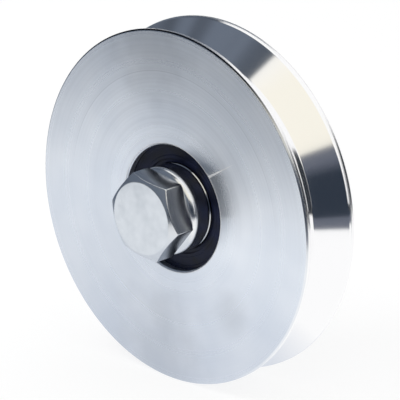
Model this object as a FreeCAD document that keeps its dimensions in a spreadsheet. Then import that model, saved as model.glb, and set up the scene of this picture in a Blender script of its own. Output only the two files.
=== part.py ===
import FreeCAD
import Part
import os

import Sketcher

# A V-groove wheel for a sliding gate or door, on one sealed ball bearing and a hex-head axle bolt.
# The origin is the wheel's centre. The wheel turns about Y, its front face looks along -Y, and +Z is up.

doc = FreeCAD.newDocument("sliding_roller")
sizes = doc.addObject("Spreadsheet::Sheet", "sizes")

driving_sizes = [
    # wheel: a turned steel ring with a V groove round its rim and a lip that stops the bearing
    ("wheel_diameter", 100),
    ("groove_angle", 90),
    ("groove_root_width", 1.6),
    ("land_width", 1.5),
    ("land_edge_break", 0.35),
    ("rim_chamfer", 0.45),
    ("lip_thickness", 2.3),
    ("lip_height", 2.15),
    ("lip_chamfer", 0.4),
    ("mouth_depth", 2.85),
    ("mouth_chamfer", 0.8),
    # bearing: a single-row deep-groove ball bearing, 17 x 40 x 12, whose bore and width
    # follow from what it holds and what goes through it
    ("bearing_diameter", 40),
    ("bearing_corner", 0.5),
    ("ball_share", 0.5867),
    ("race_conformity", 0.52),
    ("inner_shoulder_share", 0.208),
    ("outer_shoulder_share", 0.142),
    ("ball_count", 8),
    ("ball_clearance", 0.03),
    # seals: each snaps into a groove of the outer ring and runs close to the inner ring's shoulder
    ("seal_seat_share", 0.174),
    ("seal_bead_height", 0.3),
    ("seal_bead_start", 0.5),
    ("seal_depth", 1.4),
    ("seal_recess", 0.15),
    ("seal_step_width", 1.15),
    ("seal_step_depth", 0.6),
    ("seal_lip_clearance", 0.1),
    ("seal_lip_taper", 0.25),
    ("seal_to_cage_gap", 0.4065),
    # cage: two pressed steel halves, riveted together between the balls
    ("cage_width_share", 0.415),
    ("cage_sheet", 0.7),
    ("pocket_clearance", 0.12),
    ("rivet_diameter", 1),
    ("rivet_head_brim", 0.4),
    ("rivet_head_height", 0.35),
    ("rivet_head_slope", 0.3),
    # retaining ring: holds the bearing in the wheel from the rear
    ("circlip_thickness", 1.75),
    ("circlip_groove_depth", 1.25),
    ("circlip_side_clearance", 0.1),
    ("circlip_wall", 3.1),
    ("circlip_taper", 0.8),
    ("circlip_gap", 9),
    ("circlip_lug_diameter", 4.4),
    ("circlip_lug_inset", 0.85),
    ("circlip_hole_diameter", 2.5),
    # collars: one on each side clamps the bearing's inner ring and stands out of the wheel
    ("collar_stand_out", 4.6),
    ("collar_round", 2),
    ("collar_seat_inset", 0.55),
    ("collar_seat_length", 0.8),
    ("collar_flare", 0.7),
    ("spigot_wall", 1.3),
    ("spigot_gap", 1),
    ("spigot_chamfer", 0.3),
    ("bolt_clearance", 0.2),
    # axle bolt: M14, with a hexagon whose front edge is turned to a cone
    ("bolt_diameter", 14),
    ("bolt_length", 60),
    ("bolt_end_chamfer", 1.2),
    ("across_flats", 22),
    ("crown_angle", 32),
    ("head_height", 7.5),
    ("head_crown_inset", 0.7),
    ("head_turn", 50.7),
    # washers and nut behind the rear collar
    ("washer_clearance", 0.5),
    ("washer_rim", 6.5),
    ("washer_thickness", 2.5),
    ("washer_edge", 0.4),
    ("spring_washer_clearance", 0.1),
    ("spring_washer_rim", 4.95),
    ("spring_washer_thickness", 3),
    ("spring_washer_slit", 1.2),
    ("spring_washer_slant", 2.2),
    ("nut_height", 11),
    ("nut_crown_inset", 0.55),
    ("nut_bore_chamfer", 0.7),
    ("nut_turn", 14),
]

for row, (alias, value) in enumerate(driving_sizes, start=1):
    sizes.set(f"A{row}", alias)
    sizes.set(f"B{row}", str(value))
    sizes.setAlias(f"B{row}", alias)
doc.recompute()

# Radii, from the axle outwards
bolt = "(sizes.bolt_diameter / 2)"
bolt_hole = f"({bolt} + sizes.bolt_clearance)"
axle_bore = f"({bolt_hole} + sizes.spigot_wall)"
seat = "(sizes.bearing_diameter / 2)"
section = f"({seat} - {axle_bore})"
pitch = f"(({seat} + {axle_bore}) / 2)"
ball = f"({section} * sizes.ball_share / 2)"
inner_race = f"({pitch} - {ball} - sizes.ball_clearance)"
outer_race = f"({pitch} + {ball} + sizes.ball_clearance)"
race = f"(2 * {ball} * sizes.race_conformity)"
pocket = f"({ball} + sizes.pocket_clearance)"
bump = f"({pocket} + sizes.cage_sheet)"
inner_shoulder = f"({inner_race} + 2 * {ball} * sizes.inner_shoulder_share)"
outer_shoulder = f"({outer_race} - 2 * {ball} * sizes.outer_shoulder_share)"
cage_inner = f"({pitch} - {ball} * sizes.cage_width_share)"
cage_outer = f"({pitch} + {ball} * sizes.cage_width_share)"
collar_seat = f"({inner_shoulder} - sizes.collar_seat_inset)"
collar = f"({collar_seat} + sizes.collar_flare)"
seal_seat = f"({seat} - {section} * sizes.seal_seat_share)"
seal_bead = f"({seal_seat} + sizes.seal_bead_height)"
lip_hole = f"({seat} - sizes.lip_height)"
circlip_groove = f"({seat} + sizes.circlip_groove_depth)"
rim = "(sizes.wheel_diameter / 2)"
hexagon_corner = "(sizes.across_flats / 2 / cos(30))"

# Lengths along the axle
bearing_width = f"(2 * ({bump} + sizes.seal_to_cage_gap + sizes.seal_depth))"
circlip_space = "(sizes.circlip_thickness + sizes.circlip_side_clearance)"
wheel_width = f"(sizes.lip_thickness + {bearing_width} + {circlip_space} + sizes.mouth_depth)"
spigot_length = f"(({bearing_width} - sizes.spigot_gap) / 2)"

# Planes across the axle, from front to rear
wheel_front = f"(-{wheel_width} / 2)"
wheel_rear = f"({wheel_width} / 2)"
bearing_front = f"({wheel_front} + sizes.lip_thickness)"
ball_plane = f"({bearing_front} + {bearing_width} / 2)"
bearing_rear = f"({bearing_front} + {bearing_width})"
collar_front = f"({wheel_front} - sizes.collar_stand_out)"
collar_rear = f"({wheel_rear} + sizes.collar_stand_out)"
washer_rear = f"({collar_rear} + sizes.washer_thickness)"
spring_washer_rear = f"({washer_rear} + sizes.spring_washer_thickness)"
nut_rear = f"({spring_washer_rear} + sizes.nut_height)"
head_front = f"({collar_front} - sizes.head_height)"
bolt_end = f"({collar_front} + sizes.bolt_length)"


def number(expression):
    return float(sizes.evalExpression(expression))


def plane_of(body, role):
    return next(item for item in body.Origin.OriginFeatures if item.Role == role)


def sketch_on(body, role, name, offset=None):
    sketch = body.newObject("Sketcher::SketchObject", name)
    sketch.AttachmentSupport = [(plane_of(body, role), "")]
    sketch.MapMode = "FlatFace"
    if offset:
        sketch.setExpression(".AttachmentOffset.Base.z", offset)
    return sketch


def pin_point(sketch, edge, end, across, along):
    """Holds one point of a sketch at two expressions, measured from the sketch's origin."""
    for kind, expression in (("DistanceX", across), ("DistanceY", along)):
        rule = Sketcher.Constraint(kind, -1, 1, edge, end, number(expression))
        index = sketch.addConstraint(rule)
        sketch.setExpression(f"Constraints[{index}]", expression)


def draw_outline(sketch, corners):
    spots = [FreeCAD.Vector(number(x), number(y), 0) for x, y in corners]
    first = sketch.GeometryCount
    count = len(spots)
    for here in range(count):
        sketch.addGeometry(Part.LineSegment(spots[here], spots[(here + 1) % count]), False)
    for here in range(count):
        following = first + (here + 1) % count
        sketch.addConstraint(Sketcher.Constraint("Coincident", first + here, 2, following, 1))
        pin_point(sketch, first + here, 1, *corners[here])


def draw_circle(sketch, x, y, radius):
    centre = FreeCAD.Vector(number(x), number(y), 0)
    shape = Part.Circle(centre, FreeCAD.Vector(0, 0, 1), number(radius))
    edge = sketch.addGeometry(shape, False)
    pin_point(sketch, edge, 3, x, y)
    index = sketch.addConstraint(Sketcher.Constraint("Radius", edge, number(radius)))
    sketch.setExpression(f"Constraints[{index}]", radius)


def draw_hexagon(sketch, corner_radius):
    corners = []
    for step in range(6):
        turn = 60 * step
        corners.append((f"{corner_radius} * cos({turn})", f"{corner_radius} * sin({turn})"))
    draw_outline(sketch, corners)


def new_body(name):
    body = doc.addObject("PartDesign::Body", name)
    body.Label = name
    return body


def turned(name, profile):
    """A body turned about the axle from a closed profile of (radius, place along Y) corners."""
    body = new_body(name)
    sketch = sketch_on(body, "XY_Plane", f"{name}_profile")
    draw_outline(sketch, profile)
    spin = body.newObject("PartDesign::Revolution", f"{name}_turned")
    spin.Profile = sketch
    spin.ReferenceAxis = (sketch, ["V_Axis"])
    spin.Angle = 360
    return body


def turn_race(body, centre_radius):
    """Grinds the balls' groove into a bearing ring, as a circle swept about the axle."""
    sketch = sketch_on(body, "XY_Plane", f"{body.Name}_race")
    draw_circle(sketch, centre_radius, ball_plane, race)
    groove = body.newObject("PartDesign::Groove", f"{body.Name}_ground")
    groove.Profile = sketch
    groove.ReferenceAxis = (sketch, ["V_Axis"])
    groove.Angle = 360


def mill_hexagon(body, middle, height):
    """Cuts six flats on a turned head or nut, between a hexagon and a circle that clears the blank."""
    # the sketch plane's normal is -Y
    sketch = sketch_on(body, "XZ_Plane", f"{body.Name}_flats", f"-{middle}")
    draw_circle(sketch, "0", "0", "sizes.across_flats")
    draw_hexagon(sketch, hexagon_corner)
    cut = body.newObject("PartDesign::Pocket", f"{body.Name}_milled")
    cut.Profile = sketch
    cut.Midplane = True
    cut.setExpression("Length", height)


def turn_body(body, angle):
    """Turns a finished piece about the axle."""
    body.Placement = FreeCAD.Placement(FreeCAD.Vector(0, 0, 0), FreeCAD.Vector(0, 1, 0), number(angle))
    body.setExpression(".Placement.Rotation.Angle", angle)


def make_wheel():
    root = "(sizes.groove_root_width / 2)"
    mouth = f"({wheel_rear} - sizes.land_width)"
    depth = f"(({mouth} - {root}) / tan(sizes.groove_angle / 2))"
    break_along = "sizes.land_edge_break * tan(sizes.groove_angle / 2)"
    groove_rear = f"({bearing_rear} + {circlip_space})"
    return turned("wheel", [
        (f"{lip_hole} + sizes.lip_chamfer", wheel_front),
        (f"{rim} - sizes.rim_chamfer", wheel_front),
        (rim, f"{wheel_front} + sizes.rim_chamfer"),
        (rim, f"-{mouth} - sizes.land_edge_break"),
        (f"{rim} - sizes.land_edge_break", f"-{mouth} + {break_along}"),
        (f"{rim} - {depth}", f"-{root}"),
        (f"{rim} - {depth}", root),
        (f"{rim} - sizes.land_edge_break", f"{mouth} - {break_along}"),
        (rim, f"{mouth} + sizes.land_edge_break"),
        (rim, f"{wheel_rear} - sizes.rim_chamfer"),
        (f"{rim} - sizes.rim_chamfer", wheel_rear),
        (f"{seat} + sizes.mouth_chamfer", wheel_rear),
        (seat, f"{wheel_rear} - sizes.mouth_chamfer"),
        (seat, groove_rear),
        (circlip_groove, groove_rear),
        (circlip_groove, bearing_rear),
        (seat, bearing_rear),
        (seat, bearing_front),
        (lip_hole, bearing_front),
        (lip_hole, f"{wheel_front} + sizes.lip_chamfer"),
    ])


def make_outer_ring():
    bead_front = f"{bearing_front} + sizes.seal_bead_start"
    bead_rear = f"{bearing_rear} - sizes.seal_bead_start"
    shoulder_front = f"{bearing_front} + sizes.seal_depth"
    shoulder_rear = f"{bearing_rear} - sizes.seal_depth"
    body = turned("bearing_outer_ring", [
        (seal_seat, bearing_front),
        (f"{seat} - sizes.bearing_corner", bearing_front),
        (seat, f"{bearing_front} + sizes.bearing_corner"),
        (seat, f"{bearing_rear} - sizes.bearing_corner"),
        (f"{seat} - sizes.bearing_corner", bearing_rear),
        (seal_seat, bearing_rear),
        (seal_seat, bead_rear),
        (seal_bead, bead_rear),
        (seal_bead, shoulder_rear),
        (outer_shoulder, shoulder_rear),
        (outer_shoulder, shoulder_front),
        (seal_bead, shoulder_front),
        (seal_bead, bead_front),
        (seal_seat, bead_front),
    ])
    turn_race(body, f"{outer_race} - {race}")
    return body


def make_inner_ring():
    corner = "sizes.bearing_corner"
    body = turned("bearing_inner_ring", [
        (f"{axle_bore} + {corner}", bearing_front),
        (f"{inner_shoulder} - {corner}", bearing_front),
        (inner_shoulder, f"{bearing_front} + {corner}"),
        (inner_shoulder, f"{bearing_rear} - {corner}"),
        (f"{inner_shoulder} - {corner}", bearing_rear),
        (f"{axle_bore} + {corner}", bearing_rear),
        (axle_bore, f"{bearing_rear} - {corner}"),
        (axle_bore, f"{bearing_front} + {corner}"),
    ])
    turn_race(body, f"{inner_race} + {race}")
    return body


def make_seal(name, face, inward):
    """A rubber seal. Its depths are measured from the ring's face, and inward is + or -."""
    lip = f"({inner_shoulder} + sizes.seal_lip_clearance)"
    step = f"({inner_shoulder} + sizes.seal_step_width)"

    def depth(size):
        return f"{face} {inward} {size}"

    return turned(name, [
        (lip, depth("sizes.seal_step_depth")),
        (step, depth("sizes.seal_step_depth")),
        (step, depth("sizes.seal_recess")),
        (seal_seat, depth("sizes.seal_recess")),
        (seal_seat, depth("sizes.seal_bead_start")),
        (seal_bead, depth("sizes.seal_bead_start")),
        (seal_bead, depth("sizes.seal_depth")),
        (outer_shoulder, depth("sizes.seal_depth")),
        (lip, depth("(sizes.seal_depth - sizes.seal_lip_taper)")),
    ])


def spot_on_pitch(angle):
    """Where a point on the pitch circle lies, as expressions for X and Z."""
    return f"{pitch} * cos({angle})", f"{pitch} * sin({angle})"


def place(item, x, y, z):
    for direction, expression in (("x", x), ("y", y), ("z", z)):
        item.setExpression(f".Placement.Base.{direction}", expression)


def make_sphere(name, radius, angle):
    """A sphere on the pitch circle, with its poles along Y and its seam facing out from the axle."""
    item = doc.addObject("Part::Sphere", name)
    item.Label = name
    poles_along_axle = FreeCAD.Rotation(FreeCAD.Vector(1, 0, 0), 90)
    round_axle = FreeCAD.Rotation(FreeCAD.Vector(0, 1, 0), -angle)
    item.Placement.Rotation = round_axle * poles_along_axle
    item.setExpression("Radius", radius)
    x, z = spot_on_pitch(angle)
    place(item, x, ball_plane, z)
    return item


def make_balls(angles):
    return [make_sphere(f"ball_{index}", ball, angle) for index, angle in enumerate(angles, start=1)]


def join(name, pieces):
    item = doc.addObject("Part::MultiFuse", name)
    item.Shapes = pieces
    return item


def make_cage(angles, rivet_angles):
    """The cage's halves: one band cut from bumps over the balls and the flat lands between them."""
    bumps = [make_sphere(f"cage_bump_{index}", bump, angle) for index, angle in enumerate(angles)]
    pockets = [make_sphere(f"cage_pocket_{index}", pocket, angle) for index, angle in enumerate(angles)]
    for index, angle in enumerate(rivet_angles):
        hole = doc.addObject("Part::Cylinder", f"cage_hole_{index}")
        # the hole runs through both sheets, along Y
        hole.Placement.Rotation = FreeCAD.Rotation(FreeCAD.Vector(1, 0, 0), -90)
        hole.setExpression("Radius", "sizes.rivet_diameter / 2")
        hole.setExpression("Height", "4 * sizes.cage_sheet")
        x, z = spot_on_pitch(angle)
        place(hole, x, f"{ball_plane} - 2 * sizes.cage_sheet", z)
        pockets.append(hole)
    openings = join("cage_openings", pockets)
    halves = []
    for name, outward in (("cage_front_half", "-"), ("cage_rear_half", "+")):
        band = make_ring(f"{name}_band", outward, bump)
        land = make_ring(f"{name}_land", outward, "sizes.cage_sheet")
        pressed = doc.addObject("Part::MultiCommon", f"{name}_pressed")
        pressed.Shapes = [band, join(f"{name}_sheet", bumps + [land])]
        half = doc.addObject("Part::Cut", name)
        half.Label = name
        half.Base = pressed
        half.Tool = openings
        halves.append(half)
    return halves


def make_ring(name, outward, height):
    """A plain ring as wide as the cage's band, from the ball plane outwards."""
    far = f"{ball_plane} {outward} {height}"
    return turned(name, [
        (cage_inner, ball_plane),
        (cage_outer, ball_plane),
        (cage_outer, far),
        (cage_inner, far),
    ])


def make_rivets(turn):
    """Every rivet is one solid of a pattern about the axle: a shank with a cone head at each end."""
    body = new_body("cage_rivets")
    sketch = sketch_on(body, "XY_Plane", "rivet_profile")
    shank = f"({pitch} + sizes.rivet_diameter / 2)"
    brim = f"({shank} + sizes.rivet_head_brim)"
    top = f"({brim} - sizes.rivet_head_slope)"
    under = "sizes.cage_sheet"
    over = "(sizes.cage_sheet + sizes.rivet_head_height)"
    draw_outline(sketch, [
        (pitch, f"{ball_plane} - {over}"),
        (top, f"{ball_plane} - {over}"),
        (brim, f"{ball_plane} - {under}"),
        (shank, f"{ball_plane} - {under}"),
        (shank, f"{ball_plane} + {under}"),
        (brim, f"{ball_plane} + {under}"),
        (top, f"{ball_plane} + {over}"),
        (pitch, f"{ball_plane} + {over}"),
    ])
    # the last edge of the outline lies on the rivet's own centre line
    spin = body.newObject("PartDesign::Revolution", "rivet_turned")
    spin.Profile = sketch
    spin.ReferenceAxis = (sketch, ["Edge8"])
    spin.Angle = 360
    doc.recompute()
    pattern = body.newObject("PartDesign::PolarPattern", "rivet_pattern")
    pattern.Originals = [spin]
    pattern.Axis = (plane_of(body, "Y_Axis"), [""])
    pattern.Angle = 360
    pattern.Occurrences = ball_count
    body.Tip = pattern
    turn_body(body, str(turn))
    return body


def make_circlip():
    body = new_body("circlip")
    middle = f"-({bearing_rear} + sizes.circlip_thickness / 2)"
    inner = f"({circlip_groove} - sizes.circlip_wall)"
    lug = "(sizes.circlip_lug_diameter / 2)"
    lug_x = "((sizes.circlip_gap + sizes.circlip_lug_diameter) / 2)"
    lug_reach = f"({inner} - sizes.circlip_lug_inset)"
    lug_z = f"(-sqrt({lug_reach} ^ 2 - {lug_x} ^ 2))"

    def plate(name):
        return sketch_on(body, "XZ_Plane", name, middle)

    def pad(name, sketch):
        feature = body.newObject("PartDesign::Pad", name)
        feature.Profile = sketch
        feature.Midplane = True
        feature.setExpression("Length", "sizes.circlip_thickness")
        return feature

    # the inner edge's centre is moved towards the gap, so that the wall thins towards the free ends
    ring = plate("circlip_ring")
    draw_circle(ring, "0", "0", circlip_groove)
    draw_circle(ring, "0", "-sizes.circlip_taper", inner)
    pad("circlip_stamped", ring)
    for name, x in (("circlip_left", f"-{lug_x}"), ("circlip_right", lug_x)):
        ear = plate(f"{name}_lug")
        draw_circle(ear, x, lug_z, lug)
        pad(f"{name}_ear", ear)
    opening = plate("circlip_opening")
    side = "(sizes.circlip_gap / 2)"
    draw_outline(opening, [
        (f"-{side}", "0"),
        (side, "0"),
        (side, f"-{circlip_groove} - sizes.circlip_wall"),
        (f"-{side}", f"-{circlip_groove} - sizes.circlip_wall"),
    ])
    holes = plate("circlip_holes")
    draw_circle(holes, f"-{lug_x}", lug_z, "sizes.circlip_hole_diameter / 2")
    draw_circle(holes, lug_x, lug_z, "sizes.circlip_hole_diameter / 2")
    for name, sketch in (("circlip_parted", opening), ("circlip_pierced", holes)):
        cut = body.newObject("PartDesign::Pocket", name)
        cut.Profile = sketch
        cut.Midplane = True
        cut.setExpression("Length", "2 * sizes.circlip_thickness")
    return body


def make_collar(name, outer_face, seat_face, outward):
    """A turned spacer: a round body, a narrower seat on the inner ring and a spigot in its bore."""
    inward = "+" if outward == "-" else "-"
    tip = f"{seat_face} {inward} {spigot_length}"
    body = turned(name, [
        (bolt_hole, outer_face),
        (collar, outer_face),
        (collar, f"{seat_face} {outward} sizes.collar_seat_length"),
        (collar_seat, f"{seat_face} {outward} sizes.collar_seat_length"),
        (collar_seat, seat_face),
        (axle_bore, seat_face),
        (axle_bore, f"{tip} {outward} sizes.spigot_chamfer"),
        (f"{axle_bore} - sizes.spigot_chamfer", tip),
        (bolt_hole, tip),
    ])
    doc.recompute()
    feature = body.Tip
    edge = find_round_edge(feature.Shape, number(collar), number(outer_face))
    fillet = body.newObject("PartDesign::Fillet", f"{name}_rounded")
    fillet.Base = (feature, [edge])
    fillet.setExpression("Radius", "sizes.collar_round")
    return body


def find_round_edge(shape, radius, along):
    """The name of the circular edge of this radius that lies at this place along the axle."""
    for index, edge in enumerate(shape.Edges, start=1):
        curve = edge.Curve
        if isinstance(curve, Part.Circle):
            near = abs(curve.Radius - radius) < 1e-4 and abs(curve.Center.y - along) < 1e-4
            if near:
                return f"Edge{index}"
    raise ValueError(f"no edge of radius {radius} at {along}")


def make_bolt():
    crown = "(sizes.across_flats / 2 - sizes.head_crown_inset)"
    slope = f"(({hexagon_corner} - {crown}) * tan(sizes.crown_angle))"
    body = turned("axle_bolt", [
        ("0", head_front),
        (crown, head_front),
        (hexagon_corner, f"{head_front} + {slope}"),
        (hexagon_corner, collar_front),
        (bolt, collar_front),
        (bolt, f"{bolt_end} - sizes.bolt_end_chamfer"),
        (f"{bolt} - sizes.bolt_end_chamfer", bolt_end),
        ("0", bolt_end),
    ])
    middle = f"({collar_front} - sizes.head_height / 2)"
    mill_hexagon(body, middle, "sizes.head_height")
    turn_body(body, "-sizes.head_turn")
    return body


def make_flat_washer():
    hole = f"({bolt} + sizes.washer_clearance)"
    outer = f"({hole} + sizes.washer_rim)"
    return turned("flat_washer", [
        (hole, collar_rear),
        (outer, collar_rear),
        (outer, f"{washer_rear} - sizes.washer_edge"),
        (f"{outer} - sizes.washer_edge", washer_rear),
        (hole, washer_rear),
    ])


def make_spring_washer():
    """A split washer, drawn flat as it lies under a tight nut, with its slanted slit."""
    hole = f"({bolt} + sizes.spring_washer_clearance)"
    outer = f"({hole} + sizes.spring_washer_rim)"
    body = turned("spring_washer", [
        (hole, washer_rear),
        (outer, washer_rear),
        (outer, spring_washer_rear),
        (hole, spring_washer_rear),
    ])
    slit = "(sizes.spring_washer_slit / 2)"
    slant = "(sizes.spring_washer_slant / 2)"
    sketch = sketch_on(body, "XY_Plane", "spring_washer_slit_outline")
    draw_outline(sketch, [
        (f"-{slant} - {slit}", washer_rear),
        (f"-{slant} + {slit}", washer_rear),
        (f"{slant} + {slit}", spring_washer_rear),
        (f"{slant} - {slit}", spring_washer_rear),
    ])
    cut = body.newObject("PartDesign::Pocket", "spring_washer_slit")
    cut.Profile = sketch
    cut.Reversed = True
    cut.setExpression("Length", f"2 * {outer}")
    return body


def make_nut():
    crown = "(sizes.across_flats / 2 - sizes.nut_crown_inset)"
    slope = f"(({hexagon_corner} - {crown}) * tan(sizes.crown_angle))"
    mouth = f"({bolt} + sizes.nut_bore_chamfer)"
    body = turned("hex_nut", [
        (mouth, spring_washer_rear),
        (crown, spring_washer_rear),
        (hexagon_corner, f"{spring_washer_rear} + {slope}"),
        (hexagon_corner, f"{nut_rear} - {slope}"),
        (crown, nut_rear),
        (mouth, nut_rear),
        (bolt, f"{nut_rear} - sizes.nut_bore_chamfer"),
        (bolt, f"{spring_washer_rear} + sizes.nut_bore_chamfer"),
    ])
    middle = f"({spring_washer_rear} + sizes.nut_height / 2)"
    mill_hexagon(body, middle, "sizes.nut_height")
    turn_body(body, "sizes.nut_turn")
    return body


ball_count = int(round(number("sizes.ball_count")))
ball_step = 360 / ball_count
ball_angles = [index * ball_step for index in range(ball_count)]
rivet_angles = [angle + ball_step / 2 for angle in ball_angles]

nodes = [make_wheel(), make_outer_ring(), make_inner_ring()]
nodes += make_balls(ball_angles)
nodes += make_cage(ball_angles, rivet_angles)
nodes.append(make_rivets(ball_step / 2))
nodes.append(make_seal("seal_front", bearing_front, "+"))
nodes.append(make_seal("seal_rear", bearing_rear, "-"))
nodes.append(make_circlip())
nodes.append(make_collar("front_collar", collar_front, bearing_front, "-"))
nodes.append(make_collar("rear_collar", collar_rear, bearing_rear, "+"))
nodes += [make_bolt(), make_flat_washer(), make_spring_washer(), make_nut()]
doc.recompute()

for item in doc.Objects:
    if "Invalid" in item.State or "Error" in item.State:
        raise RuntimeError(f"{item.Name} failed: {item.State}")
for node in nodes:
    if node.Shape.isNull() or not node.Shape.isValid():
        raise RuntimeError(f"{node.Label} has no valid shape")

os.makedirs("parts", exist_ok=True)
for node in nodes:
    node.Shape.exportStep(f"parts/{node.Label}.step")
    solids = len(node.Shape.Solids)
    print(f"{node.Label}: {solids} solid(s), {node.Shape.Volume:.1f} cubic mm")
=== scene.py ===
import math

import bmesh
import bpy
from mathutils import Matrix, Vector


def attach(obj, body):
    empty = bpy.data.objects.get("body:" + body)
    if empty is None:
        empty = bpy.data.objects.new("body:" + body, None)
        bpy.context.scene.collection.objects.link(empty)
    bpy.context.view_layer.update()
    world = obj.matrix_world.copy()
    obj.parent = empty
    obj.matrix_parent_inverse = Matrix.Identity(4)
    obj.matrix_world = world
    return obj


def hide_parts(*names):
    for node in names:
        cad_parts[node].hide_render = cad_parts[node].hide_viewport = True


# V-groove roller: turned wheel on a sealed ball bearing, two collars and an M14 axle bolt.
# Sizes below are in millimetres, the wheel turns about Y and its front face looks along -Y.

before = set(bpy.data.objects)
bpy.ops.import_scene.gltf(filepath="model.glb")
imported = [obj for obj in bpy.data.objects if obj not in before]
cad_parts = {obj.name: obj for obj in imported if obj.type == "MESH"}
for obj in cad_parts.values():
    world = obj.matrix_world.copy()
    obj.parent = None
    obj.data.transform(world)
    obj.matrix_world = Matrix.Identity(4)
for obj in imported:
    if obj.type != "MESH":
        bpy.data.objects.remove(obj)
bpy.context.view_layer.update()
mm = 0.001
print("frame loaded:", len(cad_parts), "nodes")


def addNode(tree, kind, settings=None, inputs=None):
    node = tree.nodes.new(kind)
    for name, value in (settings or {}).items():
        setattr(node, name, value)
    for key, value in (inputs or {}).items():
        if isinstance(value, bpy.types.NodeSocket):
            tree.links.new(value, node.inputs[key])
        else:
            node.inputs[key].default_value = value
    return node


def linearColour(hexText):
    steps = [int(hexText[place:place + 2], 16) / 255 for place in (1, 3, 5)]
    return tuple(s / 12.92 if s <= 0.04045 else ((s + 0.055) / 1.055) ** 2.4 for s in steps) + (1.0,)


def startMaterial(name, values):
    material = bpy.data.materials.new(name)
    material.use_nodes = True
    tree = material.node_tree
    shader = next(node for node in tree.nodes if node.type == "BSDF_PRINCIPLED")
    for key, value in values.items():
        shader.inputs[key].default_value = value
    return material, tree, shader


def objectPlace(tree):
    return addNode(tree, "ShaderNodeTexCoord").outputs["Object"]


def worked(tree, operation, *values):
    return addNode(tree, "ShaderNodeMath", {"operation": operation}, dict(enumerate(values))).outputs[0]


def vectorWorked(tree, operation, *values):
    node = addNode(tree, "ShaderNodeVectorMath", {"operation": operation}, dict(enumerate(values)))
    return node.outputs["Value" if operation in ("LENGTH", "DISTANCE", "DOT_PRODUCT") else "Vector"]


def axleCoordinates(tree):
    # the place, its distance from the axle, how far along it lies, and the direction round the axle
    spot = objectPlace(tree)
    parts = addNode(tree, "ShaderNodeSeparateXYZ", inputs={0: spot}).outputs
    flat = addNode(tree, "ShaderNodeCombineXYZ", inputs={"X": parts["X"], "Z": parts["Z"]}).outputs[0]
    around = vectorWorked(tree, "NORMALIZE", vectorWorked(tree, "CROSS_PRODUCT", (0, 1, 0), flat))
    return spot, vectorWorked(tree, "LENGTH", flat), parts["Y"], around


def both(tree, first, second):
    return worked(tree, "MULTIPLY", first, second)


def between(tree, value, low, high):
    # 1 where the value lies between the two
    return both(tree, worked(tree, "GREATER_THAN", value, low), worked(tree, "LESS_THAN", value, high))


def zone(tree, across, along, limits):
    # 1 where both values lie between their limits, which are in millimetres
    (inner, outer), (start, end) = limits
    inside = between(tree, across, inner * mm, outer * mm)
    return both(tree, inside, between(tree, along, start * mm, end * mm))


def tinted(tree, mask, under, over):
    return addNode(tree, "ShaderNodeMix", {"data_type": "RGBA"}, {0: mask, 6: under, 7: over}).outputs[2]


def graded(tree, mask, under, over):
    return addNode(tree, "ShaderNodeMix", {"data_type": "FLOAT"}, {0: mask, 2: under, 3: over}).outputs[0]


def ranged(tree, value, start, end, low=0.0, high=1.0, curve="LINEAR"):
    # goes from low to high while the value goes from start to end
    return addNode(tree, "ShaderNodeMapRange", {"interpolation_type": curve}, {
        "Value": value, "From Min": start, "From Max": end, "To Min": low, "To Max": high}).outputs[0]


def ramped(tree, value, stops):
    # the value as a colour, by its (value, colour) stops: a new ramp already holds the first two
    ramp = addNode(tree, "ShaderNodeValToRGB", inputs={0: value})
    elements = ramp.color_ramp.elements
    for count, (place, colour) in enumerate(stops):
        stop = elements[count] if count < 2 else elements.new(place)
        stop.position = place
        stop.color = linearColour(colour)
    return ramp.outputs[0]


noiseSpan = (0.3, 0.7)  # nearly all of a noise texture's values lie in here


def noise(tree, place, size, detail, roughness=0.5, rings=False):
    # patches about this many millimetres across, or rings where the place is a single number
    kind, key = ("1D", "W") if rings else ("3D", "Vector")
    return addNode(tree, "ShaderNodeTexNoise", {"noise_dimensions": kind}, {
        key: place, "Scale": 1 / (size * mm), "Detail": detail, "Roughness": roughness}).outputs["Fac"]


def bumped(tree, height, strength, depth):
    return addNode(tree, "ShaderNodeBump", inputs={
        "Strength": strength, "Distance": depth * mm, "Height": height}).outputs[0]


def wire(tree, shader, looks):
    for name, source in looks.items():
        tree.links.new(source, shader.inputs[name])


# marks on the wheel's front face, in millimetres: each patch of painted shade is (across, up), size and depth
# of shade, each turned circle is radius and depth of shade
faceMarks = {
    "face": -9.5,
    # heights over which the turned lines darken into a painted shade on the top of the face
    "topShadeHeights": (-5.0, 25.0),
    "shadePatches": [
        ((-1.5, -31.0), 10.0, 0.07),
        ((22.0, -25.5), 7.0, 0.12),
        ((-6.0, -45.0), 20.0, 0.15),
        ((-7.0, 44.0), 18.0, 0.19),
    ],
    "shadeFade": (0.5, 1.7),
    "shadeUneven": 0.9,
    "shadePatchRagged": 7.0,
    "turnedCircles": [(38.5, 0.14), (29.8, 0.05)],
    "circleHalfWidth": 0.12,
    # the painted highlight streak out from the hole
    "glintStart": (13.5, 11.95),
    "glintTurn": 31.7,
    "glintLength": 11.5,
    "glintWidth": 0.75,
    "glintAlong": (-10.0, -9.3),
}

# zones of the wheel: limits of the distance from the axle, then of the distance from the middle plane
wheelZones = {
    "groove": ((42.6, 50.1), (-1.0, 8.05)),
    "land": ((49.5, 50.1), (8.05, 9.1)),
    "chamfer": ((58.98, 100.0), (40.25, 100.0)),  # limits of the two distances' sum and difference
    # the ring of painted highlight round the hole's edge
    "holeEdgeGlint": ((18.2, 18.42), (-10.0, -9.4)),  # its second limits are along the axle
    # heights over which the rim chamfers' painted shade comes in
    "chamferShadeHeights": (24.0, 43.0),
}


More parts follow.
